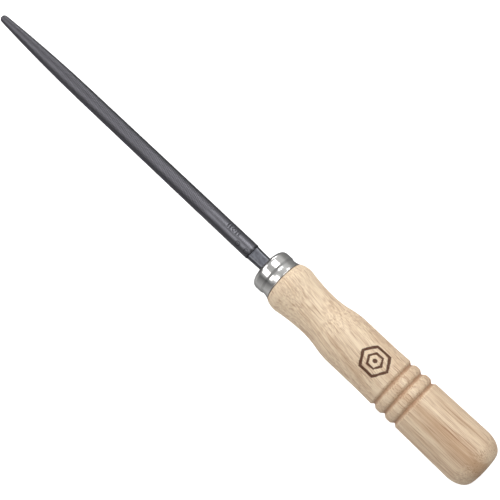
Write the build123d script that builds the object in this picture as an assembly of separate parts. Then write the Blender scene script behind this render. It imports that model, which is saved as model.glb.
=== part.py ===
from build123d import *
import os
from math import radians, sqrt, tan

# Round file for metalwork, with a turned hardwood handle and a pressed steel ferrule.
#
# Frame: millimetres, origin at the centre of the handle's flat butt face, +X along the
# tool's axis to the point of the file, +Z up. The handle, the ferrule and the blade are
# turned forms about the X axis. The tang is pressed flat, with its broad faces up and down.

# ---- Driving dimensions ----

# Handle, from the butt face forward.
butt_flat_diameter = 11.0       # flat face left on the butt
butt_round_length = 7.0         # length over which the butt is rounded off
barrel_length = 28.8            # butt face to the nearest groove
barrel_diameter = 20.1          # the handle's largest diameter, at its butt end
barrel_front_drop = 0.15        # how far the barrel falls, in radius, to the grooves

groove_count = 3
groove_pitch = 4.5
groove_width = 2.2
groove_depth = 0.95
bead_crown = 0.14               # how far each bead rises between its two grooves

grip_length = 19.9              # last groove to the crest of the swell
grip_back_drop = 0.22           # grip below the barrel, in radius, where it meets the grooves
grip_hollow = 0.15              # how far the grip dips between the grooves and the swell
swell_diameter = 19.56
waist_length = 12.9             # crest of the swell to the bottom of the waist
waist_diameter = 16.72
swell_share = 0.5               # share of the run to the waist that the swell's arc takes
bulge_length = 13.7             # bottom of the waist to the crest of the front bulge
bulge_share = 0.09              # share of that run that the bulge's arc takes
nose_length = 3.95              # crest of the front bulge to the ferrule's rear edge
nose_drop = 1.05                # how far the nose curves down, in radius, over that length
seat_step = 0.08                # wood standing proud of the ferrule's rear edge

# Ferrule, a cap drawn from steel strip and rolled on to the handle's tenon.
ferrule_length = 8.15
ferrule_wall = 0.7
ferrule_band_diameter = 16.54
ferrule_corner_radius = 2.0     # outside corner where the band turns in to the mouth
ferrule_lip_width = 0.77        # flat left between that corner and the mouth
crease_offset = 2.9             # rear edge to the bottom of the rolled crease
crease_length = 0.9             # run from the band down to the crease
crease_depth = 0.36
skirt_flare = 0.21              # rear edge's radius over the band's

# File blank, forged in one piece with its tang.
blade_length = 150.0            # point to shoulder, the nominal size of the file
blade_diameter = 6.4
taper_length = 56.5             # stretch that narrows to the point
point_diameter = 3.3            # blank's diameter just behind the blunt point
point_round_radius = 1.3
shoulder_bevel_length = 1.0
shoulder_step = 0.28            # radius lost between the blade and the tang
neck_length = 7.5               # tang left bare between shoulder and ferrule

tang_thickness = 4.34           # between its two flats, at the shoulder
tang_end_width = 3.0
tang_end_thickness = 2.2
tang_length = 46.0              # shoulder to the tang's end

# Hole in the handle: a drilled pilot, opened out by the tang driven into it.
pilot_diameter = 4.6
pilot_spare_depth = 5.0         # drilled past the tang's end
drill_point_angle = 118.0

# ---- Stations along X that follow from them ----
grooves_start = barrel_length
grooves_end = grooves_start + (groove_count - 1) * groove_pitch + groove_width
swell_x = grooves_end + grip_length
waist_x = swell_x + waist_length
bulge_x = waist_x + bulge_length
seat_x = bulge_x + nose_length                  # handle shoulder under the ferrule's rear edge
crease_x = seat_x + crease_offset
band_end_x = crease_x + crease_length
mouth_x = seat_x + ferrule_length               # front face of the ferrule
tenon_end_x = mouth_x - ferrule_wall
shoulder_x = mouth_x + neck_length
point_x = shoulder_x + blade_length
tang_end_x = shoulder_x - tang_length

# ---- Radii that follow from them ----
barrel_radius = barrel_diameter / 2
barrel_front_radius = barrel_radius - barrel_front_drop
grip_back_radius = barrel_radius - grip_back_drop
band_radius = ferrule_band_diameter / 2
skirt_radius = band_radius + skirt_flare
seat_radius = skirt_radius + seat_step
bulge_radius = seat_radius + nose_drop
mouth_radius = band_radius - ferrule_corner_radius - ferrule_lip_width  # opening for the tang
blade_radius = blade_diameter / 2
tang_radius = blade_radius - shoulder_step      # its two rounded edges

ABOUT_X = Axis.X


def revolve_about_x(outline):
    """A closed outline drawn in the XY plane above the X axis, turned into a solid."""
    return revolve(make_face(outline.edges()), axis=ABOUT_X).solid()


def s_curve(crest, hollow, crest_share):
    """Two arcs, level at the crest and at the hollow, that meet in a common tangent.

    The crest's arc takes crest_share of the run, and so of the fall.
    """
    meet = (
        crest[0] + crest_share * (hollow[0] - crest[0]),
        crest[1] + crest_share * (hollow[1] - crest[1]),
    )
    outward = 1 if hollow[0] > crest[0] else -1
    return [
        TangentArc(crest, meet, tangent=(outward, 0)),
        TangentArc(hollow, meet, tangent=(-outward, 0)),
    ]


def ferrule_outside():
    """The cap's outside, from the mouth back: rounded corner, band, rolled crease, flared skirt."""
    corner_start = (mouth_x, band_radius - ferrule_corner_radius)
    corner_end = (mouth_x - ferrule_corner_radius, band_radius)
    crease = (crease_x, band_radius - crease_depth)
    return [
        Line((mouth_x, mouth_radius), corner_start),
        TangentArc(corner_start, corner_end, tangent=(0, 1)),
        Line(corner_end, (band_end_x, band_radius)),
        Line((band_end_x, band_radius), crease),
        TangentArc(crease, (seat_x, skirt_radius), tangent=(-1, 0)),
    ]


def ferrule_inside():
    """The cap's inside, a wall's thickness in from the outside, and the tenon that fills it.

    The strip is rolled down on to the wood, so the tenon has the same form. The bevel is the
    one that touches the inside corner's arc at its middle.
    """
    inside_radius = band_radius - ferrule_wall
    bevel = (ferrule_corner_radius - ferrule_wall) * (2 - sqrt(2))
    return Polyline(
        (tenon_end_x, mouth_radius),
        (tenon_end_x, inside_radius - bevel),
        (tenon_end_x - bevel, inside_radius),
        (band_end_x, inside_radius),
        (crease_x, inside_radius - crease_depth),
        (seat_x, skirt_radius - ferrule_wall),
    )


def ferrule():
    """Drawn steel cap, open at the mouth for the tang and at the back for the tenon."""
    outside = ferrule_outside()
    inside = ferrule_inside()
    lip = Line(outside[0] @ 0, inside @ 0)
    rear_edge = Line(outside[-1] @ 1, inside @ 1)
    return revolve_about_x(Curve() + [*outside, inside, lip, rear_edge])


def bead_and_groove_outline():
    """The turned band of V grooves, with a crowned bead between each two of them.

    Each flank and bead edge lies on the straight line from the barrel to the grip.
    """
    rise = grip_back_radius - barrel_front_radius
    span = grooves_end - grooves_start

    def surface(x):
        return (x, barrel_front_radius + rise * (x - grooves_start) / span)

    outline = []
    for index in range(groove_count):
        left = grooves_start + index * groove_pitch
        right = left + groove_width
        root_x = (left + right) / 2
        root = (root_x, surface(root_x)[1] - groove_depth)
        outline += [Line(surface(left), root), Line(root, surface(right))]
        if index < groove_count - 1:
            next_left = left + groove_pitch
            middle = (right + next_left) / 2
            crown = (middle, surface(middle)[1] + bead_crown)
            outline.append(ThreePointArc(surface(right), crown, surface(next_left)))
    return outline


def handle_outline():
    """Half section of the turned handle, from the butt face to the end of its tenon."""
    barrel_front = (grooves_start, barrel_front_radius)
    round_centre = (butt_round_length, butt_flat_diameter / 2)
    round_height = barrel_radius - butt_flat_diameter / 2
    swell = (swell_x, swell_diameter / 2)
    waist = (waist_x, waist_diameter / 2)
    bulge = (bulge_x, bulge_radius)
    seat = (seat_x, seat_radius)

    butt_face = Line((0, 0), (0, butt_flat_diameter / 2))
    butt_round = EllipticalCenterArc(round_centre, butt_round_length, round_height, 90, arc_size=90)
    barrel = Line((butt_round_length, barrel_radius), barrel_front)
    grip = Bezier(
        (grooves_end, grip_back_radius),
        (grooves_end + grip_length / 3, grip_back_radius - 2 * grip_hollow),
        (swell_x - grip_length / 4, swell[1]),
        swell,
    )
    into_waist = s_curve(swell, waist, swell_share)
    out_of_waist = s_curve(bulge, waist, bulge_share)
    nose = TangentArc(bulge, seat, tangent=(1, 0))

    tenon = ferrule_inside()
    seat_step_face = Line(seat, tenon @ 1)
    tenon_face = Line(tenon @ 0, (tenon_end_x, 0))
    axis_line = Line((tenon_end_x, 0), (0, 0))
    form = [butt_face, butt_round, barrel, *bead_and_groove_outline(), grip]
    form += [*into_waist, *out_of_waist, nose, seat_step_face, tenon, tenon_face, axis_line]
    return Curve() + form


def tang_section(x, edge_radius, thickness):
    """The tang's section at x: a round bar with a flat pressed above and below."""
    flat_z = thickness / 2
    flat_y = sqrt(edge_radius**2 - flat_z**2)
    top = Line((-flat_y, flat_z), (flat_y, flat_z))
    right = ThreePointArc((flat_y, flat_z), (edge_radius, 0), (flat_y, -flat_z))
    bottom = Line((flat_y, -flat_z), (-flat_y, -flat_z))
    left = ThreePointArc((-flat_y, -flat_z), (-edge_radius, 0), (-flat_y, flat_z))
    outline = Curve() + [top, right, bottom, left]
    return make_face((Plane(origin=(x, 0, 0), x_dir=(0, 1, 0), z_dir=(1, 0, 0)) * outline).edges())


def tang():
    """Flattened tang that narrows evenly from the shoulder to its end."""
    root = tang_section(shoulder_x, tang_radius, tang_thickness)
    end = tang_section(tang_end_x, tang_end_width / 2, tang_end_thickness)
    return loft([end, root])


def pilot_hole():
    """The drilled hole down the handle's axis, with the drill's point at its end."""
    drill_r = pilot_diameter / 2
    full_end_x = tang_end_x - pilot_spare_depth
    point_end_x = full_end_x - drill_r / tan(radians(drill_point_angle / 2))
    outline = Polyline(
        (point_end_x, 0),
        (full_end_x, drill_r),
        (tenon_end_x, drill_r),
        (tenon_end_x, 0),
        close=True,
    )
    return revolve_about_x(outline)


def handle():
    """Turned handle with the hole that its pilot drill and the driven tang leave."""
    return revolve_about_x(handle_outline()) - pilot_hole() - tang()


def blade():
    """Round blade: parallel stretch, bellied taper and blunt rounded point."""
    point_r = point_diameter / 2
    taper_start_x = point_x - taper_length
    round_start_x = point_x - point_round_radius
    parallel_start_x = shoulder_x + shoulder_bevel_length
    shoulder = [
        Line((shoulder_x, 0), (shoulder_x, tang_radius)),
        Line((shoulder_x, tang_radius), (parallel_start_x, blade_radius)),
        Line((parallel_start_x, blade_radius), (taper_start_x, blade_radius)),
    ]
    taper = TangentArc((taper_start_x, blade_radius), (round_start_x, point_r), tangent=(1, 0))
    flat_r = point_r - point_round_radius
    point_round = CenterArc((round_start_x, flat_r), point_round_radius, 90, -90)
    closing = [Line((point_x, flat_r), (point_x, 0)), Line((point_x, 0), (shoulder_x, 0))]
    return revolve_about_x(Curve() + shoulder + [taper, point_round] + closing)


def file_blank():
    """Blade and tang, forged from one bar."""
    return blade() + tang()


def main():
    os.makedirs("parts", exist_ok=True)
    pieces = {"file_blank": file_blank(), "ferrule": ferrule(), "handle": handle()}
    for name, piece in pieces.items():
        export_step(piece, f"parts/{name}.step")


main()
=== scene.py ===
"""Round file with a turned wooden handle: its visual model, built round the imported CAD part.

Laid out as an add-on and run as a script. Lengths are metres. The tool's axis is X, from the
middle of the butt face (x = 0) to the point, and its marked side faces up (+Z).
"""

from math import cos, radians, sin

import bpy
import numpy as np
from mathutils import Matrix, Vector


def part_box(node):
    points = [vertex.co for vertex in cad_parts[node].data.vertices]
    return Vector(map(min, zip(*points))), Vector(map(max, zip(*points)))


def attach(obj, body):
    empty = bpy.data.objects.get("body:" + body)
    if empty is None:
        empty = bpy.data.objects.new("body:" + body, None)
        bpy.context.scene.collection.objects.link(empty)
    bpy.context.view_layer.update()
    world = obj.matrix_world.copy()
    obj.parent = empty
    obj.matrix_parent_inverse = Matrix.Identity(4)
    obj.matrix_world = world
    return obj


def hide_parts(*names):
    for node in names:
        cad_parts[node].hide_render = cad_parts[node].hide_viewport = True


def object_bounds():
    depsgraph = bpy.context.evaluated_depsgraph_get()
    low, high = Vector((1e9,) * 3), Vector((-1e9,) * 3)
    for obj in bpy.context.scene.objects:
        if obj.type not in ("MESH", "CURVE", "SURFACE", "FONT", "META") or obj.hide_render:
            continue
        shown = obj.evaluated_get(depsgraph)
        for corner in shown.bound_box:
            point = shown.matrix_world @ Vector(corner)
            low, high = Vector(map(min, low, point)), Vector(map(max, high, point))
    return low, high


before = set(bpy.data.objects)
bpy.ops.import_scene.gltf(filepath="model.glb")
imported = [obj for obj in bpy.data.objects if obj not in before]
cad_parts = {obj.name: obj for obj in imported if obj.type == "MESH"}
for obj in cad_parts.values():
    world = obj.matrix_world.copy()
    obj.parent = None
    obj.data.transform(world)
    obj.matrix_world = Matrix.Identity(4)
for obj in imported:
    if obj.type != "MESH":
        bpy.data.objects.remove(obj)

bl_info = {
    "name": "Round file with turned handle",
    "version": (1, 0, 0),
    "blender": (4, 5, 0),
    "location": "View3D > Sidebar > Round file",
    "description": "Builds a round file's blade, tang, ferrule and turned handle",
    "category": "Object",
}

MM = 0.001
FRAME_LOW, FRAME_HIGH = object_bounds()
FERRULE_LOW, FERRULE_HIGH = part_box("ferrule")
BLANK_LOW, BLANK_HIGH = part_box("file_blank")
HANDLE_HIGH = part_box("handle")[1]
TURN = 2 * np.pi


# ---- Sizes and colours that a user would change ----


def length(name, description, default):
    """A length property, in metres."""
    return bpy.props.FloatProperty(
        name=name, description=description, default=default, min=0, precision=5, unit="LENGTH"
    )


def share(name, description, default):
    """A number from 0 to 1."""
    return bpy.props.FloatProperty(
        name=name, description=description, default=default, min=0, max=1, subtype="FACTOR"
    )


def angle(name, description, degrees):
    """An angle property, kept in radians."""
    return bpy.props.FloatProperty(
        name=name, description=description, default=np.radians(degrees), subtype="ANGLE"
    )


def colour(name, description, default):
    """A linear red, green and blue colour."""
    return bpy.props.FloatVectorProperty(
        name=name, description=description, default=default, min=0, max=1, size=3, subtype="COLOR"
    )


class BladeSizes(bpy.types.PropertyGroup):
    """The round blade, its teeth and the stamps on its heel."""

    radius: length("Radius", "Radius of the parallel stretch", BLANK_HIGH.z)
    taper: length("Taper", "Length that narrows to the point", 56.5 * MM)
    point_radius: length("Point radius", "Radius just behind the blunt point", 1.65 * MM)
    point_round: length("Point round", "Radius that rounds off the point", 1.3 * MM)
    shoulder: length("Shoulder", "Shoulder's distance from the ferrule's mouth", 7.5 * MM)
    bevel: length("Shoulder bevel", "Length of the bevel down to the tang", 1.0 * MM)
    heel: length("Heel", "Smooth length left between the teeth and the shoulder", 20.5 * MM)
    over_pitch: length("First cut", "Spacing of the first cut's teeth along the blade", 0.74 * MM)
    up_pitch: length("Second cut", "Spacing of the second cut's teeth along the blade", 0.58 * MM)
    over_starts: bpy.props.IntProperty(
        name="First cut's starts", description="Spiral rows of the first cut", default=11
    )
    up_starts: bpy.props.IntProperty(
        name="Second cut's starts", description="Spiral rows of the second cut", default=7
    )
    tooth_depth: length("Tooth depth", "Height of a tooth over its gullet", 0.12 * MM)
    stamp_depth: length("Stamp depth", "Depth of the stamps on the heel", 0.09 * MM)
    steel: colour("Steel", "Colour of the ground heel", (0.185, 0.183, 0.202))
    tooth_crest: colour("Tooth crests", "Colour of the sharp crests", (0.18, 0.175, 0.193))
    # This dark steel paints shade into the gullets and at the foot of the shoulder's bevel, and
    # also darkens the heel's stains and the stamps.
    dark_steel_and_shade: colour("Gullets", "Colour of the dark gullets between teeth", (0.075, 0.075, 0.084))


class TangSizes(bpy.types.PropertyGroup):
    """The flattened tang, from the shoulder to its end inside the handle."""

    edge_radius: length("Edge radius", "Radius of its rounded edges at the shoulder", 2.92 * MM)
    thickness: length("Thickness", "Between its two flats at the shoulder", 4.34 * MM)
    end_width: length("End width", "Width at its end", 3.0 * MM)
    end_thickness: length("End thickness", "Thickness at its end", 2.2 * MM)
    scale: colour("Forge scale", "Colour of the forged flats", (0.18, 0.186, 0.211))
    bare: colour("Bare steel", "Colour of the steel along the flats' edges", (0.34, 0.34, 0.36))


class FerruleSizes(bpy.types.PropertyGroup):
    """The drawn steel cap."""

    band_radius: length("Band radius", "Radius of the straight band", 8.27 * MM)
    wall: length("Wall", "Thickness of the strip", 0.7 * MM)
    corner: length("Corner radius", "Outside corner between band and mouth", 2.0 * MM)
    lip: length("Lip", "Flat left between the corner and the mouth", 0.77 * MM)
    crease_offset: length("Crease", "Rear edge to the bottom of the crease", 2.9 * MM)
    crease_run: length("Crease run", "Length from the band down to the crease", 0.9 * MM)
    crease_depth: length("Crease depth", "Depth of the rolled crease", 0.36 * MM)
    flare: length("Flare", "Rear edge's radius over the band's", 0.21 * MM)
    metal: colour("Plating", "Colour of the bright plating", (0.86, 0.85, 0.83))


class HandleSizes(bpy.types.PropertyGroup):
    """The turned handle, its grooves and its burned mark."""

    butt_flat: length("Butt flat", "Radius of the flat face left on the butt", 5.5 * MM)
    butt_round: length("Butt round", "Length over which the butt is rounded off", 7.0 * MM)
    barrel_length: length("Barrel", "Butt face to the nearest groove", 28.8 * MM)
    barrel_drop: length("Barrel drop", "Fall of the barrel to the grooves", 0.15 * MM)
    groove_count: bpy.props.IntProperty(
        name="Grooves", description="Number of turned grooves", default=3, min=1, max=6
    )
    groove_pitch: length("Groove pitch", "From one groove to the next", 4.5 * MM)
    groove_width: length("Groove width", "Width of a groove", 2.2 * MM)
    groove_depth: length("Groove depth", "Depth of a groove", 0.95 * MM)
    bead_crown: length("Bead crown", "Rise of each bead between two grooves", 0.14 * MM)
    grip_length: length("Grip", "Last groove to the crest of the swell", 19.9 * MM)
    grip_drop: length("Grip drop", "Grip below the barrel beside the grooves", 0.22 * MM)
    grip_hollow: length("Grip hollow", "Dip of the grip before the swell", 0.15 * MM)
    swell_radius: length("Swell", "Radius at the crest of the swell", 9.78 * MM)
    waist_length: length("To the waist", "Crest of the swell to the waist", 12.9 * MM)
    waist_radius: length("Waist", "Radius at the bottom of the waist", 8.36 * MM)
    swell_share: share("Swell's share", "Share of the run down taken by the swell's arc", 0.5)
    bulge_length: length("To the bulge", "Waist to the crest of the bulge", 13.7 * MM)
    bulge_radius: length("Bulge", "Radius at the crest of the front bulge", 9.61 * MM)
    bulge_share: share("Bulge's share", "Share of the run up taken by the bulge's arc", 0.09)
    seat_radius: length("Seat", "Radius at the ferrule's rear edge", 8.56 * MM)
    bore_radius: length("Bore", "Radius of the drilled hole", 2.3 * MM)
    bore_end: length("Bore's end", "Where the drilled hole ends", 55.1 * MM)
    mark_x: length("Mark's place", "Middle of the burned mark along the handle", 47.8 * MM)
    mark_turn: angle("Mark's turn", "Middle of the burned mark, round from the top", -4.5)
    mark_size: length("Mark's size", "From the mark's middle to each flat side", 5.0 * MM)
    mark_line: length("Mark's line", "Width of the burned line", 0.95 * MM)
    mark_depth: length("Mark's depth", "Depth of the burned line", 0.1 * MM)
    pale: colour("Pale wood", "Colour of the wood between the rings", (0.94, 0.772, 0.560))
    tan: colour("Ring wood", "Colour of the darker rings", (0.62, 0.42, 0.262))
    # Besides the pores, this colour paints shade into the groove bottoms and, darkened, the shadow
    # in the gap at the ferrule.
    pore: colour("Pores", "Colour inside the open pores", (0.39, 0.200, 0.110))
    burn: colour("Burned line", "Colour of the burned mark", (0.085, 0.025, 0.008))


class StageSizes(bpy.types.PropertyGroup):
    """The floor, the light cards and the camera."""

    roll: angle("Roll", "Turn of the tool about its own axis towards the camera", 5.0)
    tip: angle("Tip", "Lean of the camera towards the butt", 16.5)
    distance: length("Distance", "Camera to the point of the axis it looks at", 276 * MM)
    look_x: length("Look at", "Point of the axis in the middle of the view", 107.9 * MM)
    slope: angle("Slope", "Fall of the axis across the view", 43.24)
    lens: bpy.props.FloatProperty(
        name="Lens", description="Focal length for a 36 mm wide film", default=54.72, min=1
    )
    floor_colour: colour("Floor", "Colour of the floor", (0.93, 0.93, 0.93))
    surround: share("Surround", "Brightness of the room around the stage", 0.27)


# ---- Shapes worked out on a grid ----


def smooth_step(low, high, value):
    """0 below low, 1 above high, and 3t^2 - 2t^3 between them, with t the share of the way."""
    t = np.clip((value - low) / (high - low), 0, 1)
    return t * t * (3 - 2 * t)


def spread(stops, counts):
    """Stations from stop to stop, counts[i] even steps in the i-th stretch, each stop once."""
    runs = [np.linspace(a, b, n, endpoint=False) for a, b, n in zip(stops, stops[1:], counts)]
    return np.concatenate([*runs, [stops[-1]]])


def noise_grid(rng, rows, columns, row_span, column_span):
    """Smooth random grid: random values blurred by a bell curve each way, both ways closed.

    row_span and column_span are the bell curves' widths in steps. Its deviation is 1.
    """
    values = rng.standard_normal((rows, columns))
    row_wave = np.fft.fftfreq(rows)[:, None] * row_span
    column_wave = np.fft.fftfreq(columns)[None, :] * column_span
    bell = np.exp(-2 * np.pi**2 * (row_wave**2 + column_wave**2))
    smooth = np.fft.ifft2(np.fft.fft2(values) * bell).real
    return smooth / smooth.std()


def at_rows(grid, position):
    """The grid's rows at fractional positions, each mixed from the two rows about it."""
    low = np.clip(np.floor(position).astype(int), 0, len(grid) - 2)
    part = np.clip(position - low, 0, 1)[:, None]
    return grid[low] * (1 - part) + grid[low + 1] * part


def full_turn(columns):
    """Even turns round the axis from 0, the last one a step short of a whole turn."""
    return np.arange(columns) / columns * TURN


def turned(x, radius, turn):
    """Grid point = (x, radius sin turn, radius cos turn): turn is 0 on top and rises to +Y."""
    x, radius, turn = np.broadcast_arrays(x, radius, turn)
    return np.stack([x, radius * np.sin(turn), radius * np.cos(turn)], axis=-1)


def outline_normals(x, radius):
    """Unit normals of an outline, to the left of its run: its slope turned by a right angle."""
    dx, dr = np.gradient(x), np.gradient(radius)
    size = np.maximum(np.hypot(dx, dr), 1e-12)
    return -dr / size, dx / size


def sag(away, run, fall, share=1.0):
    """Fall of an arc at a distance away from where it is level.

    Its radius is share x (run^2 + fall^2) / (2 fall), so a whole one falls by fall over run.
    """
    bend = share * (run**2 + fall**2) / (2 * fall)
    return bend - np.sqrt(np.maximum(bend**2 - away**2, 0))


def level_arcs(x, crest, hollow, crest_share):
    """Heights at x of two arcs, level at the crest and the hollow, that meet in one tangent.

    The crest's arc takes crest_share of the run and the fall, and the hollow's takes the rest.
    """
    run, fall = abs(hollow[0] - crest[0]), crest[1] - hollow[1]
    from_crest = np.abs(x - crest[0])
    high = crest[1] - sag(from_crest, run, fall, crest_share)
    low = hollow[1] + sag(x - hollow[0], run, fall, 1 - crest_share)
    return np.where(from_crest < crest_share * run, high, low)


def level_arc(x, crest, end):
    """Heights at x of one arc that is level at the crest and passes through the end."""
    return crest[1] - sag(x - crest[0], end[0] - crest[0], crest[1] - end[1])


def tube_corners(rows, columns, ring):
    """Corner numbers of the quads between each row and the next, each row a closed loop.

    In a ring the last row also meets the first. Rows that run to +X have faces outwards.
    """
    row = np.arange(rows if ring else rows - 1)[:, None]
    column = np.arange(columns)[None, :]
    here, ahead = row * columns, (row + 1) % rows * columns
    after = (column + 1) % columns
    quads = np.stack([here + column, ahead + column, ahead + after, here + after], -1)
    return quads.reshape(-1, 4)


def piece_from_grid(name, points, values, ring=False):
    """A mesh piece from a grid of points, rows by columns by 3.

    Its two ends are closed by fans about their middles, unless its rows make a ring. values
    holds the named numbers, one for each grid point, that its material reads.
    """
    rows, columns = points.shape[:2]
    vertices = points.reshape(-1, 3)
    quads = tube_corners(rows, columns, ring)
    corners, starts = [quads.ravel()], [np.arange(len(quads)) * 4]
    if not ring:
        column = np.arange(columns)
        after = (column + 1) % columns
        last, count = (rows - 1) * columns, len(vertices)
        low_fan = np.stack([np.full(columns, count), column, after], -1)
        high_fan = np.stack([np.full(columns, count + 1), last + after, last + column], -1)
        vertices = np.vstack([vertices, points[0].mean(0), points[-1].mean(0)])
        corners += [low_fan.ravel(), high_fan.ravel()]
        starts.append(len(quads) * 4 + np.arange(2 * columns) * 3)
    corners, starts = np.concatenate(corners), np.concatenate(starts)

    mesh = bpy.data.meshes.new(name)
    mesh.vertices.add(len(vertices))
    mesh.vertices.foreach_set("co", vertices.astype(np.float32).ravel())
    mesh.loops.add(len(corners))
    mesh.loops.foreach_set("vertex_index", corners.astype(np.int32))
    mesh.polygons.add(len(starts))
    mesh.polygons.foreach_set("loop_start", starts.astype(np.int32))
    mesh.polygons.foreach_set("use_smooth", np.ones(len(starts), bool))
    mesh.update(calc_edges=True)
    for key, grid in values.items():
        flat = np.zeros(len(vertices), np.float32)
        flat[: rows * columns] = np.broadcast_to(grid, (rows, columns)).ravel()
        if not ring:
            flat[-2], flat[-1] = flat[0], flat[rows * columns - 1]
        mesh.attributes.new(key, "FLOAT", "POINT").data.foreach_set("value", flat)
    if mesh.validate():
        raise RuntimeError(f"{name}'s grid made faces that Blender had to mend")
    piece = bpy.data.objects.new(name, mesh)
    bpy.context.scene.collection.objects.link(piece)
    return piece


def finish_piece(piece, material, node):
    """Gives a piece its material, hides the CAD node that it stands for, and hangs it under the
    root body.
    """
    piece.data.materials.append(material)
    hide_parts(node)
    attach(piece, "root")


# ---- Shader arithmetic ----


class Wire:
    """An output socket that can stand in arithmetic, which adds the Math nodes it needs."""

    def __init__(self, sheet, socket):
        self.sheet = sheet
        self.socket = socket

    def beside(self, index):
        """Another output of the same node."""
        return Wire(self.sheet, self.socket.node.outputs[index])

    def _maths(self, operation, *values):
        return self.sheet.add("ShaderNodeMath", dict(enumerate(values)), operation=operation)

    def __add__(self, other):
        return self._maths("ADD", self, other)

    __radd__ = __add__

    def __sub__(self, other):
        return self._maths("SUBTRACT", self, other)

    def __rsub__(self, other):
        return self._maths("SUBTRACT", other, self)

    def __mul__(self, other):
        return self._maths("MULTIPLY", self, other)

    __rmul__ = __mul__

    def __truediv__(self, other):
        return self._maths("DIVIDE", self, other)

    def __rtruediv__(self, other):
        return self._maths("DIVIDE", other, self)

    def __abs__(self):
        return self._maths("ABSOLUTE", self)

    def over(self, other):
        """The larger of the two."""
        return self._maths("MAXIMUM", self, other)

    def root(self):
        """Square root."""
        return self._maths("SQRT", self)

    def fraction(self):
        """What is left over past a whole number."""
        return self._maths("FRACT", self)

    def turn_from(self, other):
        """The angle whose tangent is this over the other."""
        return self._maths("ARCTAN2", self, other)

    def step(self, low, high, start=0.0, end=1.0):
        """A smooth step from start, where this is low, to end, where it is high."""
        values = {0: self, 1: low, 2: high, 3: start, 4: end}
        settings = {"interpolation_type": "SMOOTHSTEP", "clamp": True}
        return self.sheet.add("ShaderNodeMapRange", values, **settings)

    def band(self, middle, inner, outer):
        """1 within inner of the middle, and smoothly down to 0 at outer from it."""
        return abs(self - middle).step(inner, outer, 1.0, 0.0)


class Sheet:
    """The node tree of one material, or of the world."""

    def __init__(self, name, kind="materials"):
        self.owner = getattr(bpy.data, kind).new(name)
        self.owner.use_nodes = True
        self.tree = self.owner.node_tree
        self.tree.nodes.clear()

    def add(self, kind, values=None, output=0, **settings):
        """Adds a node, makes its settings, fills its sockets, and returns one of its outputs."""
        node = self.tree.nodes.new(kind)
        for key, value in settings.items():
            if key == "stops":
                self._set_stops(node.color_ramp, value)
            else:
                setattr(node, key, value)
        for key, value in (values or {}).items():
            socket = node.inputs[key]
            if isinstance(value, Wire):
                self.tree.links.new(value.socket, socket)
            elif socket.type == "RGBA" and len(value) == 3:
                socket.default_value = (*value, 1.0)
            else:
                socket.default_value = value
        return Wire(self, node.outputs[output]) if len(node.outputs) else node

    @staticmethod
    def _set_stops(ramp, stops):
        while len(ramp.elements) < len(stops):
            ramp.elements.new(0.5)
        for element, (place, grey) in zip(ramp.elements, stops):
            element.position = place
            element.color = (grey, grey, grey, 1.0)

    def place(self, kind="Object"):
        """The point's place in the object, or the direction in the world: x, y and z."""
        point = self.add("ShaderNodeTexCoord", output=kind)
        split = self.add("ShaderNodeSeparateXYZ", {0: point})
        return [split.beside(i) for i in range(3)]

    def point(self, x, y, z=0.0):
        """A point made of three numbers."""
        return self.add("ShaderNodeCombineXYZ", {0: x, 1: y, 2: z})

    def noise(self, point, detail=2.0, roughness=0.5, shift=0.0):
        """Noise of about one wave a unit, from 0 to 1; shift picks another part of it."""
        values = {"Vector": point, "W": shift, "Scale": 1.0, "Detail": detail}
        values["Roughness"] = roughness
        return self.add("ShaderNodeTexNoise", values, noise_dimensions="4D")

    def drawn_noise(self, place, long, wide, detail=2.0, roughness=0.5, shift=0.0):
        """Noise drawn out along X, in waves about long by wide."""
        x, y, z = place
        point = self.point(x / long, y / wide, z / wide)
        return self.noise(point, detail, roughness, shift)

    def mixed(self, share, first, second):
        """Colour from first to second as share goes from 0 to 1."""
        values = {0: share, 6: first, 7: second}
        return self.add("ShaderNodeMix", values, output=2, data_type="RGBA", clamp_factor=True)

    def attribute(self, name):
        """A number kept on the mesh under that name."""
        return self.add("ShaderNodeAttribute", output="Fac", attribute_name=name)

    def bump(self, height, distance, strength):
        """Normal of a surface raised by height times distance."""
        values = {"Strength": strength, "Distance": distance, "Height": height}
        return self.add("ShaderNodeBump", values)

    def finish(self, values):
        """Ends the material in a Principled shader with these socket values."""
        shader = self.add("ShaderNodeBsdfPrincipled", values)
        self.add("ShaderNodeOutputMaterial", {"Surface": shader})
        return self.owner


# ---- Finishes ----


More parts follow.
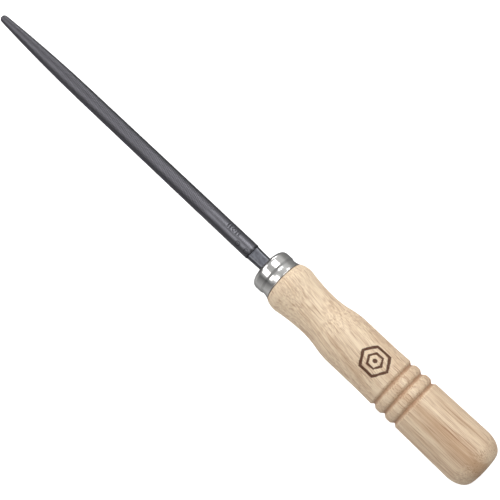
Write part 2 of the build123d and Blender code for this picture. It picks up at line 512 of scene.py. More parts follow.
def turned_wood(sizes):
    """Pale ring-porous wood: growth rings about a pith beside the handle, streaks and pores.

    The grain climbs across the front half, so the patterns read y plus a share of the x past
    the grooves. A ring's colour is where the distance from the pith, bent by slow noise, stands
    between two rings.
    """
    sheet = Sheet("turned_wood")
    x, y, z = sheet.place()
    across = y + (x - 42 * MM).over(0.0) * 0.15
    grain = (x, across, z)
    slow = sheet.drawn_noise(grain, 38 * MM, 9 * MM, shift=1.7)
    mottle = sheet.drawn_noise(grain, 16 * MM, 2.4 * MM, 3.0)
    pith_y, pith_z, ring_width = 24 * MM, -17 * MM, 3.3 * MM
    off_y, off_z = across - pith_y, z - pith_z
    from_pith = (off_y * off_y + off_z * off_z).root() + (slow - 0.5) * (7 * MM)
    ring = (from_pith / ring_width).fraction()
    late = ring.step(0.30, 0.86) * ring.step(0.90, 1.0, 1.0, 0.0)

    # One dark streak beside the waist and one along the barrel, both a little bent.
    waist_streak = (across + (slow - 0.5) * (1.4 * MM)).band(7.2 * MM, 0.2 * MM, 1.4 * MM)
    waist_streak = waist_streak * x.step(40 * MM, 52 * MM)
    barrel_streak = (y + (slow - 0.5) * (4 * MM)).band(1.6 * MM, 1.0 * MM, 4.2 * MM)
    barrel_streak = barrel_streak * x.step(16 * MM, 44 * MM, 1.0, 0.0)
    streak = waist_streak.over(barrel_streak)

    # Fibres of four sizes: broad figure, long threads, short pores and fine hair.
    figure = sheet.drawn_noise(grain, 26 * MM, 0.55 * MM)
    threads = sheet.drawn_noise(grain, 28 * MM, 0.36 * MM, 1.0, shift=9.0).step(0.52, 0.66)
    threads = threads * mottle.step(0.36, 0.60, 0.3, 1.0) * x.step(1 * MM, 8 * MM, 0.3, 1.0)
    pores = sheet.drawn_noise(grain, 5.5 * MM, 0.24 * MM, 1.5, 0.45, shift=4.0).step(0.53, 0.68)
    pores = pores * (1.0 - late * 0.6) * mottle.step(0.36, 0.58, 0.35, 1.0)
    hair = sheet.drawn_noise(grain, 12 * MM, 0.15 * MM, 1.0)
    groove, open_pores, burn, seam = map(sheet.attribute, ("groove", "pore", "burn", "seam"))

    darker = late * 0.22 + slow.step(0.42, 0.72) * 0.26 + (mottle - 0.5) * 0.50 + streak * 0.50
    darker = darker + (figure - 0.5) * x.step(40 * MM, 84 * MM, 0.75, 2.8)
    # Painted light: the wood is made paler towards the ferrule and darker towards the butt, as the
    # light falls off along the handle.
    darker = darker + x.step(20 * MM, 92 * MM, 0.20, -0.26)
    wood = sheet.mixed(darker, sizes.pale, sizes.tan)
    wood = sheet.mixed(hair.step(0.46, 0.72) * 0.58, wood, sizes.pore)
    wood = sheet.mixed(threads * 0.60, wood, sizes.pore)
    wood = sheet.mixed(pores.over(open_pores) * 0.66, wood, sizes.pore)
    # The groove bottoms darken, partly as burned lines and partly as painted shade in the hollows.
    wood = sheet.mixed(groove.step(0.15, 0.90) * 0.68, wood, sizes.pore)
    # Painted shadow: near-black wood in the gap at the ferrule's rear edge.
    wood = sheet.mixed(seam * 0.85, wood, sizes.pore * 0.2)
    scorch = sheet.drawn_noise((x, y, z), 0.7 * MM, 0.7 * MM)
    wood = sheet.mixed(burn.step(0.02, 0.45) * 0.30, wood, sizes.burn)
    wood = sheet.mixed(burn.step(0.38, 0.62) * (0.80 + scorch * 0.25), wood, sizes.burn)
    return sheet.finish(
        {
            "Base Color": wood,
            "Roughness": 0.50 + pores * 0.15 + burn * 0.15 + (mottle - 0.5) * 0.12,
            "Specular IOR Level": 0.35,
            "Normal": sheet.bump(hair * 0.25 - pores, 0.012 * MM, 0.6),
        }
    )


def file_steel(sizes):
    """Hardened steel: gullets painted dark as shade between brighter tooth crests, and a ground
    heel.
    """
    sheet = Sheet("file_steel")
    x, y, z = sheet.place()
    tooth, cut, stamp = map(sheet.attribute, ("tooth", "cut", "stamp"))
    turn = y.turn_from(z)
    ground = sheet.noise(sheet.point(x / (9 * MM), turn * 14.0), 4.0, 0.6)
    stain = sheet.drawn_noise((x, y, z), 11 * MM, 4 * MM, 3.0, shift=2.0)
    heel = sheet.mixed((ground - 0.5) * 0.5 + stain * 0.5, sizes.steel, sizes.dark_steel_and_shade)
    # Painted shade: the gullets between the teeth are darker than the crests.
    teeth = sheet.mixed(tooth.step(0.05, 0.75), sizes.dark_steel_and_shade, sizes.tooth_crest)
    metal = sheet.mixed(cut, heel, teeth)
    # The stamps are darkest, and painted shade darkens the foot of the bevel.
    shoulder_x = FERRULE_HIGH.x + sizes.shoulder
    shoulder_shade = x.step(shoulder_x + 0.3 * MM, shoulder_x + 0.9 * MM, 0.8, 0.0)
    metal = sheet.mixed((stamp * 0.75).over(shoulder_shade), metal, sizes.dark_steel_and_shade * 0.5)
    fine = sheet.noise(sheet.point(x / (1.6 * MM), turn * 90.0))
    return sheet.finish(
        {
            "Base Color": metal,
            "Metallic": 1.0,
            "Roughness": 0.40 + cut * 0.06 + (stain - 0.5) * 0.16 + stamp * 0.1,
            "Normal": sheet.bump(fine * (1.0 - cut), 0.004 * MM, 0.5),
        }
    )


def forged_steel(sizes):
    """Blue-grey forge scale on the tang, mottled, with the bare steel through on its edges."""
    sheet = Sheet("forged_steel")
    place = sheet.place()
    mottle = sheet.drawn_noise(place, 1.5 * MM, 1.1 * MM, 4.0, 0.6)
    speck = sheet.drawn_noise(place, 0.3 * MM, 0.3 * MM, shift=3.0)
    scale = sheet.mixed(mottle.step(0.35, 0.75), sizes.scale, sizes.scale * 0.55)
    scale = sheet.mixed(sheet.attribute("edge") * 0.5, scale, sizes.bare)
    return sheet.finish(
        {
            "Base Color": scale,
            "Metallic": 1.0,
            "Roughness": 0.46 + (mottle - 0.5) * 0.2 + speck * 0.06,
            "Normal": sheet.bump(speck + mottle, 0.01 * MM, 0.5),
        }
    )


def bright_plating(sizes):
    """Bright plated steel with fine lines rolled round it and a few duller patches."""
    sheet = Sheet("bright_plating")
    x, y, z = sheet.place()
    lines = sheet.noise(sheet.point(x / (0.11 * MM), y.turn_from(z) * 1.3))
    patch = sheet.drawn_noise((x, y, z), 3 * MM, 5 * MM, 3.0, shift=6.0)
    inside = sheet.attribute("inside")
    worn = patch.step(0.45, 0.8) * 0.5 + inside * 0.5
    return sheet.finish(
        {
            "Base Color": sheet.mixed(worn, sizes.metal, sizes.metal * 0.72),
            "Metallic": 1.0,
            "Roughness": 0.13 + patch.step(0.4, 0.8) * 0.10 + inside * 0.2 + lines * 0.05,
            "Normal": sheet.bump(lines, 0.0022 * MM, 0.5),
        }
    )


def pale_paper(sizes):
    """White card for the floor, bright enough to show no edge against the surroundings."""
    sheet = Sheet("pale_paper")
    fibre = sheet.drawn_noise(sheet.place(), 50 * MM, 50 * MM)
    paper = sheet.mixed(fibre, sizes.floor_colour, sizes.floor_colour * 0.97)
    seen = sheet.add("ShaderNodeLightPath", output="Is Camera Ray")
    lit = {"Color": (1.0, 1.0, 1.0), "Strength": 0.12 + seen * 0.6}
    glow = sheet.add("ShaderNodeEmission", lit)
    matt = sheet.add("ShaderNodeBsdfDiffuse", {"Color": paper})
    both = sheet.add("ShaderNodeAddShader", {0: matt, 1: glow})
    sheet.add("ShaderNodeOutputMaterial", {"Surface": both})
    return sheet.owner


def surroundings(sizes):
    """The room: white to the eye, and grey to everything else, by the angle round X.

    It is dark straight below and between the +Y cards and the horizon, brighter towards the
    point than towards the butt, and dim near the axis at both ends.
    """
    greys = (
        (-180, 0.10), (-135, 0.22), (-100, 0.30), (-78, 0.62), (-55, 0.62), (-15, 0.46),
        (20, 0.48), (50, 0.40), (67, 0.13), (86, 0.30), (120, 0.50), (180, 0.10),
    )
    typical_grey = 0.34
    sheet = Sheet("surroundings", "worlds")
    x, y, z = sheet.place("Generated")
    around = y.turn_from(z) / TURN + 0.5
    stops = [(degrees / 360 + 0.5, grey) for degrees, grey in greys]
    grey = sheet.add("ShaderNodeValToRGB", {0: around}, stops=stops)
    ends = abs(x).step(0.72, 0.95, 1.0, 0.25)
    strength = (x * 0.5 + 1.0) * ends * (sizes.surround / typical_grey)
    room = sheet.add("ShaderNodeBackground", {"Color": grey, "Strength": strength})
    white = sheet.add("ShaderNodeBackground", {"Color": (1.0, 1.0, 1.0), "Strength": 1.0})
    seen = sheet.add("ShaderNodeLightPath", output="Is Camera Ray")
    mix = sheet.add("ShaderNodeMixShader", {0: seen, 1: room, 2: white})
    sheet.add("ShaderNodeOutputWorld", {"Surface": mix})
    return sheet.owner


# ---- Pieces ----


STRIPS = 10                     # strips of chisel cuts round the blade
STRIP_SLANT = 0.24              # rise of a cut along the blade for each step across it
CREST_RISE = 0.08 * MM          # the chisel throws each crest up over the blank's surface
SHOULDER_STEP = 0.28 * MM       # fall from the blade to the foot of its bevel
ROWS_PER_TOOTH = 4              # rows of the grid to each tooth of the second cut
STAMPED_LENGTH = 14.5 * MM      # stretch of the heel whose rows are close, for the stamps

# Middles of the heel's stamps, along X and round the blade from its top.
STAMP_ROW_X, STAMP_ROW_Y = 116.9 * MM, -1.25 * MM
STAMP_RING_X, STAMP_RING_Y = (107.9 * MM, 112.2 * MM), 1.75 * MM
BAR_PLACES = (-2.7 * MM, -1.6 * MM, 1.6 * MM, 2.7 * MM)
BAR_HALF_WIDTH, STAMP_HALF_HEIGHT = 0.26 * MM, 1.05 * MM

SEAT_ROUND, SEAT_FALL = 0.6 * MM, 0.4 * MM  # length and depth of the rounding at the ferrule


def stamp_cover(x, across):
    """How far a point of the heel lies in a stamp, from 0 to 1, by its distance from the edges.

    A bar's distance is the larger of its two offsets less its half sizes, a ring's is how far
    the distance from its middle is off its radius, and a lozenge's is the sum of its offsets.
    """
    edge = 0.11 * MM
    ring_radius, ring_half_line, dot_radius = 0.85 * MM, 0.17 * MM, 0.25 * MM
    in_row = np.abs(across - STAMP_ROW_Y) - STAMP_HALF_HEIGHT
    distance = np.full(np.broadcast_shapes(x.shape, across.shape), 1.0)
    for place in BAR_PLACES:
        along = np.abs(x - STAMP_ROW_X - place) - BAR_HALF_WIDTH
        distance = np.minimum(distance, np.maximum(along, in_row))
    lozenge = np.abs(x - STAMP_ROW_X) * 1.25 + in_row
    distance = np.minimum(distance, np.abs(lozenge + 0.1 * MM) - 0.2 * MM)
    for ring_x in STAMP_RING_X:
        away = np.hypot(x - ring_x, across - STAMP_RING_Y)
        distance = np.minimum(distance, np.abs(away - ring_radius) - ring_half_line)
        distance = np.minimum(distance, away - dot_radius)
    return 1 - smooth_step(-edge, edge, distance)


def blade_outline(sizes, shoulder_x):
    """Outline of the blade without its teeth, from the shoulder's face to the point.

    The bevel is straight, the taper is one arc that starts level, and the point is rounded by a
    quarter circle.
    """
    face_x = shoulder_x + sizes.bevel
    cut_x = shoulder_x + sizes.heel
    taper_x = BLANK_HIGH.x - sizes.taper
    round_x = BLANK_HIGH.x - sizes.point_round
    tooth_rows = int(ROWS_PER_TOOTH * (round_x - cut_x) / sizes.up_pitch)
    stops = [face_x, face_x + 0.12 * MM, face_x + STAMPED_LENGTH, cut_x, round_x - 0.05 * MM]
    skin_x = spread(stops, [2, 74, 12, tooth_rows])
    tapered = level_arc(skin_x, (taper_x, sizes.radius), (round_x, sizes.point_radius))
    skin_r = np.where(skin_x > taper_x, tapered, sizes.radius)

    foot_r = sizes.radius - SHOULDER_STEP
    face_r = np.array([0.5, 0.96, 0.995]) * foot_r
    share = np.array([0.0, 0.03, 0.5, 0.96])
    bend = np.linspace(0, np.pi / 2, 8)
    nose_x = round_x + sizes.point_round * np.sin(bend)
    nose_r = sizes.point_radius - sizes.point_round * (1 - np.cos(bend))
    x = np.concatenate([np.full(3, shoulder_x), shoulder_x + sizes.bevel * share, skin_x, nose_x])
    radius = np.concatenate([face_r, foot_r + SHOULDER_STEP * share, skin_r, nose_r])
    return x, radius


def blade_points(sizes):
    """The blade's grid, and the tooth, cut and stamp numbers that its material reads.

    Radius = outline + crest rise - tooth depth x (1 - tooth) - stamp depth x stamp. A tooth's
    height is the product of two waves that cross. The second cut is made in strips along the
    blade, each with slanting cuts, and the grid's rows slant with them.
    """
    shoulder_x = FERRULE_HIGH.x + sizes.shoulder
    cut_x = shoulder_x + sizes.heel
    point_x = BLANK_HIGH.x
    row_x, row_r = blade_outline(sizes, shoulder_x)
    rows, columns = len(row_x), 10 * STRIPS
    x = row_x[:, None]
    turn = full_turn(columns)
    strip_turn = (turn * STRIPS / TURN) % 1 - 0.5
    strip_width = TURN * sizes.radius / STRIPS
    fade_in = smooth_step(cut_x - 1.5 * MM, cut_x + 1.5 * MM, x)
    fade_out = smooth_step(point_x - 2.5 * MM, point_x - 0.9 * MM, x)
    slant = strip_turn * strip_width * STRIP_SLANT * fade_in * (1 - fade_out)
    x = x + slant

    # The teeth start on a ragged line and are shallower at the point.
    rng = np.random.default_rng(7)
    ragged = noise_grid(rng, 2, columns, 0.1, 3.5)[:1] * 1.6 * MM
    cut = smooth_step(cut_x - 0.6 * MM, cut_x + 2.4 * MM, x + ragged) * (1 - 0.6 * fade_out)
    uneven = noise_grid(rng, rows, columns, 14, 5) * 0.04
    over = x / sizes.over_pitch + sizes.over_starts * turn / TURN + uneven
    up = (x - slant) / sizes.up_pitch
    over_tooth = (0.5 - 0.5 * np.cos(TURN * over)) ** 0.5
    up_tooth = (0.5 - 0.5 * np.cos(TURN * up)) ** 0.6
    tooth = np.clip(over_tooth * (0.35 + 0.65 * up_tooth), 0, 1)
    depth_share = 1 + 0.18 * noise_grid(rng, rows, columns, 2, 2)
    depth = sizes.tooth_depth * np.clip(depth_share, 0.5, 1.4)
    stamp = stamp_cover(x, sizes.radius * ((turn + np.pi) % TURN - np.pi)) * (1 - cut)
    radius = row_r[:, None] + cut * (CREST_RISE - depth * (1 - tooth)) - sizes.stamp_depth * stamp
    return turned(x, radius, turn), {"tooth": tooth, "cut": cut, "stamp": stamp}


def tang_points(sizes, shoulder_x):
    """The tang's grid: a round bar with flats pressed above and below, narrowing to its end.

    Radius = the smaller of the edges' radius and half the thickness over the turn's cosine,
    less a little where flat and edge meet and where the hammer left it uneven.
    """
    end_x, end_edge = BLANK_LOW.x, sizes.end_width / 2
    stops = [end_x, end_x + 0.4 * MM, FERRULE_HIGH.x - 1.5 * MM, shoulder_x + 0.6 * MM]
    x = spread(stops, [3, 24, 64])[:, None]
    along = (x - end_x) / (shoulder_x - end_x)
    edge = end_edge + (sizes.edge_radius - end_edge) * along
    half = (sizes.end_thickness + (sizes.thickness - sizes.end_thickness) * along) / 2

    # The columns crowd about the four corners, where a flat meets a round edge.
    corner, near = np.arccos(0.5 * sizes.thickness / sizes.edge_radius), np.radians(1.3)
    half_turn = [-corner + near, corner - near, corner + near, np.pi - corner - near]
    stops = [*half_turn, *[t + np.pi for t in half_turn], half_turn[0] + TURN]
    turn = spread(stops, [22, 3] * 4)[:-1]
    radius = np.minimum(edge, half / np.maximum(np.abs(np.cos(turn)), 0.05))
    from_side = np.abs(turn % np.pi - np.pi / 2)
    chamfer = np.exp(-(((from_side + corner - np.pi / 2) / 0.05) ** 2))
    beaten = noise_grid(np.random.default_rng(11), len(x), len(turn), 5, 5) * 0.014 * MM
    radius = radius - 0.05 * MM * chamfer - np.abs(beaten)
    radius = radius * smooth_step(end_x - 0.8 * MM, end_x + 0.4 * MM, x) ** 0.5
    return turned(x, radius, turn), {"edge": chamfer}


def corner_run(start, end, steps):
    """Points from start towards end, the first and last steps short, so that corners stay crisp."""
    start, end = np.array(start), np.array(end)
    tight = min(0.04 * MM / np.hypot(*(end - start)), 0.2)
    part = np.concatenate([[0, tight], np.linspace(tight, 1 - tight, steps + 1)[1:]])
    return start + (end - start) * part[:, None]


def ferrule_outline(sizes):
    """Closed outline of the cap, and how many of its points are outside.

    It runs outside from the rear edge over the flare's arc, the crease, the band, the corner's
    quarter circle and the lip to the mouth, and back inside, a wall's thickness away.
    """
    rear_x, mouth_x = FERRULE_LOW.x, FERRULE_HIGH.x
    edge_round = 0.12 * MM
    skirt_r = sizes.band_radius + sizes.flare
    crease = (rear_x + sizes.crease_offset, sizes.band_radius - sizes.crease_depth)
    band_x = crease[0] + sizes.crease_run
    corner_x = mouth_x - sizes.corner
    lip_r = sizes.band_radius - sizes.corner
    mouth_r = lip_r - sizes.lip

    skirt_x = np.linspace(rear_x + edge_round, crease[0] - 0.03 * MM, 26)
    flare = crease[1] + sag(skirt_x - crease[0], sizes.crease_offset, skirt_r - crease[1])
    turn = np.linspace(0, np.pi / 2, 22)
    round_x = corner_x + sizes.corner * np.sin(turn)
    round_r = lip_r + sizes.corner * np.cos(turn)
    outside = [
        np.stack([skirt_x, flare], 1),
        corner_run(crease, (band_x, sizes.band_radius), 8),
        corner_run((band_x, sizes.band_radius), (corner_x, sizes.band_radius), 8),
        np.stack([round_x, round_r], 1),
        corner_run((mouth_x, lip_r), (mouth_x, mouth_r), 4)[1:],
    ]

    inner_r = sizes.band_radius - sizes.wall
    bevel = (sizes.corner - sizes.wall) * (2 - np.sqrt(2))
    inner_x = mouth_x - sizes.wall
    inside = [
        (mouth_x, mouth_r),
        (inner_x, mouth_r),
        (inner_x, inner_r - bevel),
        (inner_x - bevel, inner_r),
        (band_x, inner_r),
        (crease[0], crease[1] - sizes.wall),
        (rear_x, skirt_r - sizes.wall),
        (rear_x, skirt_r - edge_round),
    ]
    back = [corner_run(a, b, 3) for a, b in zip(inside, inside[1:])]
    return np.concatenate([*outside, *back]), sum(len(run) for run in outside)


def ferrule_points(sizes):
    """The cap's grid: its outline carried round the axis.

    Radius = outline + a slow swell round it of a few hundredths + fine rolled lines along it,
    all a little inside the outline so that no swell passes it by much.
    """
    outline, shown = ferrule_outline(sizes)
    rows, columns = len(outline), 512
    turn = full_turn(columns)
    rng = np.random.default_rng(5)
    outside = (np.arange(rows) < shown)[:, None].astype(float)
    swell = noise_grid(rng, rows, columns, 9, 15) * 0.026 * MM
    lines = noise_grid(rng, rows, columns, 0.7, 400) * 0.0008 * MM
    radius = outline[:, 1:] + (swell + lines - 0.03 * MM) * outside
    return turned(outline[:, :1], radius, turn), {"inside": 1 - outside}


def groove_end(sizes):
    """Where the last groove ends along X."""
    return sizes.barrel_length + (sizes.groove_count - 1) * sizes.groove_pitch + sizes.groove_width


def handle_skin(x, sizes):
    """The turned handle's radius at x, from the rounded butt to the ferrule, and its groove share.

    A straight barrel; V grooves with crowned beads on the line from barrel to grip; a
    four-point curve for the grip; and arcs, level at swell, waist and bulge, up to the seat.
    """
    barrel_r = HANDLE_HIGH.z
    start, end = sizes.barrel_length, groove_end(sizes)
    swell = (end + sizes.grip_length, sizes.swell_radius)
    waist = (swell[0] + sizes.waist_length, sizes.waist_radius)
    bulge = (waist[0] + sizes.bulge_length, sizes.bulge_radius)
    seat = (FERRULE_LOW.x, sizes.seat_radius)

    barrel = barrel_r - sizes.barrel_drop * (x - sizes.butt_round) / (start - sizes.butt_round)
    left_r, right_r = barrel_r - sizes.barrel_drop, barrel_r - sizes.grip_drop
    line = left_r + (right_r - left_r) * (x - start) / (end - start)
    in_pitch = (x - start) % sizes.groove_pitch
    half = sizes.groove_width / 2
    cut = np.clip(1 - np.abs(in_pitch - half) / half, 0, 1)
    half_bead = (sizes.groove_pitch - sizes.groove_width) / 2
    from_crown = (in_pitch - sizes.groove_width - half_bead) / half_bead
    crown = np.clip(1 - from_crown**2, 0, 1) * (in_pitch > sizes.groove_width)
    grooves = line - sizes.groove_depth * cut + sizes.bead_crown * crown

    t = np.linspace(0, 1, 200)[:, None]
    hollow = (end + sizes.grip_length / 3, right_r - 2 * sizes.grip_hollow)
    rise = (swell[0] - sizes.grip_length / 4, sizes.swell_radius)
    pulls = np.array([(end, right_r), hollow, rise, swell])
    curve = np.hstack([(1 - t) ** 3, 3 * t * (1 - t) ** 2, 3 * t**2 * (1 - t), t**3]) @ pulls
    ends = [start, end, swell[0], waist[0], bulge[0]]
    forms = [barrel, grooves, np.interp(x, curve[:, 0], curve[:, 1])]
    forms += [level_arcs(x, swell, waist, sizes.swell_share)]
    forms += [level_arcs(x, bulge, waist, sizes.bulge_share)]
    radius = np.select([x < stop for stop in ends], forms, level_arc(x, bulge, seat))
    return radius, np.where((x > start) & (x < end), cut, 0.0)


def softened_skin(sizes):
    """The skin at fine steps, as the lathe and the sandpaper leave it: x, radius, groove share.

    The seat's edge is rounded off by a quarter of an ellipse, and then a narrow bell curve blurs
    every edge.
    """
    seat_x = FERRULE_LOW.x
    step, reach = 0.02 * MM, 20
    x = np.arange(sizes.butt_round, seat_x + step, step)
    radius, groove = handle_skin(x, sizes)
    to_seat = np.clip(1 - (seat_x - x) / SEAT_ROUND, 0, 1)
    radius = radius - SEAT_FALL * (1 - np.sqrt(1 - to_seat**2))
    bell = np.exp(-0.5 * (np.arange(-reach, reach + 1) * step / (0.09 * MM)) ** 2)
    padded = np.pad(radius, reach, mode="reflect", reflect_type="odd")
    return x, np.convolve(padded, bell / bell.sum(), mode="valid"), groove


def tenon_outline(sizes):
    """Outline of the part under the ferrule, from the seat to the end of the drilled hole."""
    seat_x, end_x = FERRULE_LOW.x, FERRULE_HIGH.x - 0.7 * MM
    band_r, crease_r, bore_r = 7.5 * MM, 7.1 * MM, sizes.bore_radius
    outline = [(seat_x, 7.9 * MM), (seat_x, 7.7 * MM), (seat_x + 2.9 * MM, crease_r)]
    outline += [(seat_x + 3.8 * MM, band_r), (end_x - 0.9 * MM, band_r), (end_x, 6.6 * MM)]
    outline += [(end_x, 4.5 * MM), (end_x, bore_r + 0.05 * MM), (end_x, bore_r)]
    outline += [(end_x - 0.1 * MM, bore_r), (sizes.bore_end, bore_r)]
    outline += [(sizes.bore_end - 1.3 * MM, 0.05 * MM)]
    return np.array(outline)


def handle_outline(sizes):
    """Outline from the butt's middle to the end of the bore, and its groove, skin and painted gap
    shadow shares.

    The butt is a flat with a quarter of an ellipse round it. Rows are close over the grooves,
    the mark and the seat.
    """
    seat_x, mark = FERRULE_LOW.x, sizes.mark_x
    stops = [sizes.butt_round, sizes.barrel_length - 0.6 * MM, groove_end(sizes) + 0.6 * MM]
    stops += [mark - 7 * MM, mark + 7 * MM, seat_x - 6 * MM, seat_x - SEAT_ROUND, seat_x]
    skin_x = spread(stops, [16, 66, 3, 48, 20, 9, 6])
    fine_x, fine_r, fine_groove = softened_skin(sizes)

    bend = np.linspace(0, np.pi / 2, 18, endpoint=False)
    round_x = sizes.butt_round * (1 - np.cos(bend))
    round_r = sizes.butt_flat + (HANDLE_HIGH.z - sizes.butt_flat) * np.sin(bend)
    face_r = np.array([0.06, 0.3, 0.6, 0.88, 0.99]) * sizes.butt_flat
    tenon = tenon_outline(sizes)
    x = np.concatenate([np.zeros_like(face_r), round_x, skin_x, tenon[:, 0]])
    skin_r = np.interp(skin_x, fine_x, fine_r)
    radius = np.concatenate([face_r, round_r, skin_r, tenon[:, 1]])
    butt_rows = len(face_r) + len(round_r)
    skin = (np.arange(len(x)) < butt_rows + len(skin_x)).astype(float)
    groove = np.zeros_like(x)
    groove[butt_rows : butt_rows + len(skin_x)] = np.interp(skin_x, fine_x, fine_groove)
    # Painted shadow: the wood is darkened in the gap behind the ferrule's rear edge, but not on the
    # tenon inside it.
    seam = smooth_step(seat_x - 0.55 * MM, seat_x - 0.25 * MM, x) * (x < seat_x + 1 * MM)
    return x, radius, groove, skin, seam


def mark_cover(along, across, sizes, rng):
    """How far a point lies in the burned mark, from 0 to 1, by its distance from the lines.

    The mark is two hexagons, one in the other, and a dot. A point's size in a hexagon is the
    larger of its offset across and sqrt(3)/2 of its offset along plus half that across.
    """
    wobble = noise_grid(rng, *np.broadcast_shapes(along.shape, across.shape), 3, 3) * 0.05 * MM
    size = np.maximum(np.abs(across), np.abs(along) * np.sqrt(0.75) + np.abs(across) / 2)
    half = sizes.mark_line / 2
    outer = np.abs(size - sizes.mark_size + half) - half
    inner = np.abs(size - 0.46 * sizes.mark_size) - 0.8 * half
    nearest = np.minimum(np.minimum(outer, inner), size - 0.16 * sizes.mark_size)
    return 1 - smooth_step(-0.14 * MM, 0.14 * MM, nearest + wobble)


def handle_points(sizes):
    """The handle's grid, and the groove, pore, burn and painted gap shadow numbers that its
    material reads.

    Each point = outline - normal x (pores + sanding waves + the burned line's depth).
    """
    row_x, row_r, groove, skin, seam = handle_outline(sizes)
    normal_x, normal_r = outline_normals(row_x, row_r)
    columns, fine_rows = 470, 420
    turn = full_turn(columns)
    rng = np.random.default_rng(3)
    position = np.clip(row_x / HANDLE_HIGH.x, 0, 1) * (fine_rows - 1)
    pores = smooth_step(2.1, 3.0, noise_grid(rng, fine_rows, columns, 7, 0.75))
    pores = at_rows(pores, position) * skin[:, None] * smooth_step(0.2 * MM, 2 * MM, row_x)[:, None]
    waves = at_rows(noise_grid(rng, fine_rows, columns, 12, 24), position) * 0.012 * MM
    along = (row_x - sizes.mark_x)[:, None]
    across = row_r[:, None] * ((turn - sizes.mark_turn + np.pi) % TURN - np.pi)
    burn = mark_cover(along, across, sizes, rng) * skin[:, None]
    depth = pores * 0.03 * MM + np.abs(waves) * skin[:, None] + burn * sizes.mark_depth
    x = row_x[:, None] - normal_x[:, None] * depth
    radius = row_r[:, None] - normal_r[:, None] * depth
    values = {"pore": pores, "groove": groove[:, None], "burn": burn, "seam": seam[:, None]}
    return turned(x, radius, turn), values


# ---- Operators ----


class ROUNDFILE_OT_blade(bpy.types.Operator):
    """Adds the toothed blade with its stamped heel"""

    bl_idname = "round_file.blade"
    bl_label = "Blade"

    def execute(self, context):
        sizes = context.scene.round_file_blade
        points, values = blade_points(sizes)
        piece = piece_from_grid("blade", points, values)
        finish_piece(piece, file_steel(sizes), "file_blank")
        return {"FINISHED"}


class ROUNDFILE_OT_tang(bpy.types.Operator):
    """Adds the flattened tang that the handle is driven on to"""

    bl_idname = "round_file.tang"
    bl_label = "Tang"

    def execute(self, context):
        sizes = context.scene.round_file_tang
        shoulder_x = FERRULE_HIGH.x + context.scene.round_file_blade.shoulder
        points, values = tang_points(sizes, shoulder_x)
        piece = piece_from_grid("tang", points, values)
        finish_piece(piece, forged_steel(sizes), "file_blank")
        return {"FINISHED"}


class ROUNDFILE_OT_ferrule(bpy.types.Operator):
    """Adds the bright steel ferrule with its rolled crease"""

    bl_idname = "round_file.ferrule"
    bl_label = "Ferrule"

    def execute(self, context):
        sizes = context.scene.round_file_ferrule
        points, values = ferrule_points(sizes)
        piece = piece_from_grid("ferrule_cap", points, values, ring=True)
        finish_piece(piece, bright_plating(sizes), "ferrule")
        return {"FINISHED"}


class ROUNDFILE_OT_handle(bpy.types.Operator):
    """Adds the turned wooden handle with its grooves and burned mark"""

    bl_idname = "round_file.handle"
    bl_label = "Handle"

    def execute(self, context):
        sizes = context.scene.round_file_handle
        points, values = handle_points(sizes)
        piece = piece_from_grid("turned_handle", points, values)
        finish_piece(piece, turned_wood(sizes), "handle")
        return {"FINISHED"}


def view_axes(sizes):
    """The camera's right, up and back directions, and the tool's side facing it.

    The side that faces the camera is up, rolled about X towards +Y. Back leans from it towards
    the butt, and the axis then falls to the right across the view by the slope.
    """
    facing = Vector((0, sin(sizes.roll), cos(sizes.roll)))
    to_butt = Vector((-1, 0, 0))
    back = cos(sizes.tip) * facing + sin(sizes.tip) * to_butt
    along = cos(sizes.tip) * to_butt - sin(sizes.tip) * facing
    beside = back.cross(along)
    right = cos(sizes.slope) * along + sin(sizes.slope) * beside
    up = cos(sizes.slope) * beside - sin(sizes.slope) * along
    return right, up, back, facing


def light_card(name, centre, target, width, height, radiance):
    """A soft rectangular light at centre, facing target, its height along X."""
    data = bpy.data.lights.new(name, "AREA")
    data.shape = "RECTANGLE"
    data.size, data.size_y = width, height
    data.energy = radiance * np.pi * width * height
    card = bpy.data.objects.new(name, data)
    bpy.context.scene.collection.objects.link(card)
    away = (centre - target).normalized()
    side = away.cross(Vector((1, 0, 0))).normalized()
    turn = Matrix((side, side.cross(away), away)).transposed().to_4x4()
    card.matrix_world = Matrix.Translation(centre) @ turn
    card.visible_camera = False


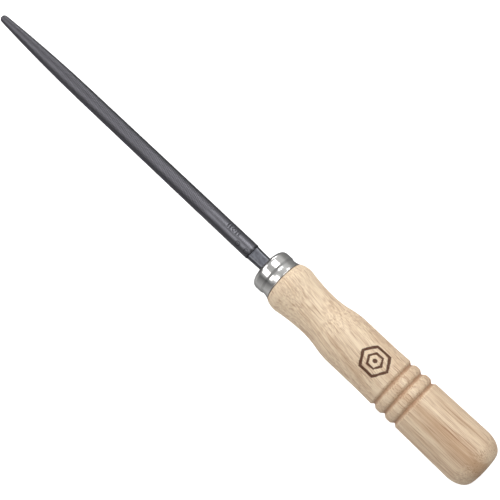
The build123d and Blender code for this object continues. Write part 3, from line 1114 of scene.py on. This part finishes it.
class ROUNDFILE_OT_stage(bpy.types.Operator):
    """Adds the pale floor, the soft light cards, the surroundings and the camera"""

    bl_idname = "round_file.stage"
    bl_label = "Stage"

    def execute(self, context):
        sizes = context.scene.round_file_stage
        right, up, back, facing = view_axes(sizes)
        target = Vector((sizes.look_x, 0, 0))

        data = bpy.data.cameras.new("camera")
        data.lens, data.sensor_width = sizes.lens, 36
        camera = bpy.data.objects.new("camera", data)
        context.scene.collection.objects.link(camera)
        turn = Matrix((right, up, back)).transposed().to_4x4()
        camera.matrix_world = Matrix.Translation(target + sizes.distance * back) @ turn
        context.scene.camera = camera

        side, low = 4.0, FRAME_LOW.z
        mesh = bpy.data.meshes.new("floor")
        corners = [(-side, -side, low), (side, -side, low), (side, side, low), (-side, side, low)]
        mesh.from_pydata(corners, [], [(0, 1, 2, 3)])
        floor = bpy.data.objects.new("floor", mesh)
        context.scene.collection.objects.link(floor)
        mesh.materials.append(pale_paper(sizes))
        floor.visible_glossy = False

        # Each card's lean round X from the camera's side, its ends along X, width and radiance.
        card_distance = 0.42
        beside = facing.cross(Vector((-1, 0, 0)))
        for name, lean, near, far, width, radiance in (
            ("card_minus_y", 38, 0.03, 0.225, 0.20, 6.2),
            ("card_tip_minus_y", 78, 0.46, 0.95, 0.16, 3.4),
            ("card_plus_y", -26, -0.02, 0.30, 0.22, 2.0),
            ("card_tip_plus_y", -14, 0.34, 0.95, 0.28, 1.9),
        ):
            middle = Vector(((near + far) / 2, 0, 0))
            away = cos(radians(lean)) * facing + sin(radians(lean)) * beside
            light_card(name, middle + card_distance * away, middle, width, far - near, radiance)

        context.scene.world = surroundings(sizes)
        context.scene.view_settings.view_transform = "Standard"
        return {"FINISHED"}


class ROUNDFILE_PT_pieces(bpy.types.Panel):
    """Lists the file's pieces"""

    bl_idname = "ROUNDFILE_PT_pieces"
    bl_label = "Round file"
    bl_space_type = "VIEW_3D"
    bl_region_type = "UI"
    bl_category = "Round file"

    def draw(self, context):
        for operator in OPERATORS:
            self.layout.operator(operator.bl_idname)


SIZES = {
    "round_file_blade": BladeSizes,
    "round_file_tang": TangSizes,
    "round_file_ferrule": FerruleSizes,
    "round_file_handle": HandleSizes,
    "round_file_stage": StageSizes,
}
OPERATORS = (
    ROUNDFILE_OT_blade,
    ROUNDFILE_OT_tang,
    ROUNDFILE_OT_ferrule,
    ROUNDFILE_OT_handle,
    ROUNDFILE_OT_stage,
)


def register():
    for cls in (*SIZES.values(), *OPERATORS, ROUNDFILE_PT_pieces):
        bpy.utils.register_class(cls)
    for name, group in SIZES.items():
        setattr(bpy.types.Scene, name, bpy.props.PointerProperty(type=group))


def unregister():
    for name in SIZES:
        delattr(bpy.types.Scene, name)
    for cls in (ROUNDFILE_PT_pieces, *reversed(OPERATORS), *reversed(SIZES.values())):
        bpy.utils.unregister_class(cls)


def main():
    """Builds every piece and the stage."""
    register()
    bpy.ops.round_file.blade()
    bpy.ops.round_file.tang()
    bpy.ops.round_file.ferrule()
    bpy.ops.round_file.handle()
    bpy.ops.round_file.stage()


if __name__ == "__main__":
    main()
